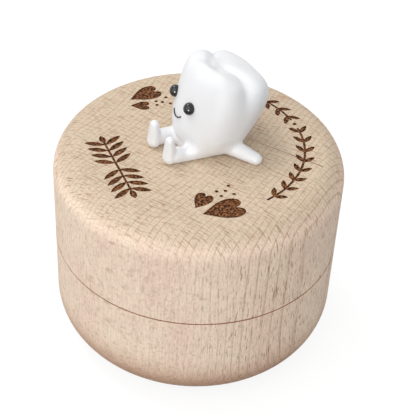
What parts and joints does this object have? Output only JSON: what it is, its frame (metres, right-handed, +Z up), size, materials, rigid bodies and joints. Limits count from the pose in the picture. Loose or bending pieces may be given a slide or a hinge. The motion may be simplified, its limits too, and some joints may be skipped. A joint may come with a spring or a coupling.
{
  "type": "baby tooth box",
  "caption": "Round turned wooden keepsake box for milk teeth, with a lift-off lid and a small sitting tooth figure on top.",
  "frame": {"origin": "centre of the flat underside that the box stands on", "axes": "+Z up along the box's turning axis, -Y towards the front of the lid, where the figure's face looks"},
  "size_m": [0.06, 0.06, 0.0645],
  "materials": {
    "beech": "raw turned and sanded beech",
    "glue": "clear set glue",
    "white_clay": "smooth satin white modelling clay",
    "black_bead": "glossy black bead",
    "black_thread": "thin black clay thread"
  },
  "bodies": {
    "base": {"base": "beech"},
    "lid": {"lid": "beech", "glue_film": "glue", "tooth_body": "white_clay", "left_leg": "white_clay", "right_leg": "white_clay", "left_foot": "white_clay", "right_foot": "white_clay", "left_arm": "white_clay", "right_arm": "white_clay", "left_eye": "black_bead", "right_eye": "black_bead", "smile": "black_thread"}
  },
  "joints": [
    {"name": "lid_lift", "type": "slide", "parent": "base", "child": "lid", "axis": [0, 0, 1], "range_m": [0, 0.06]}
  ]
}
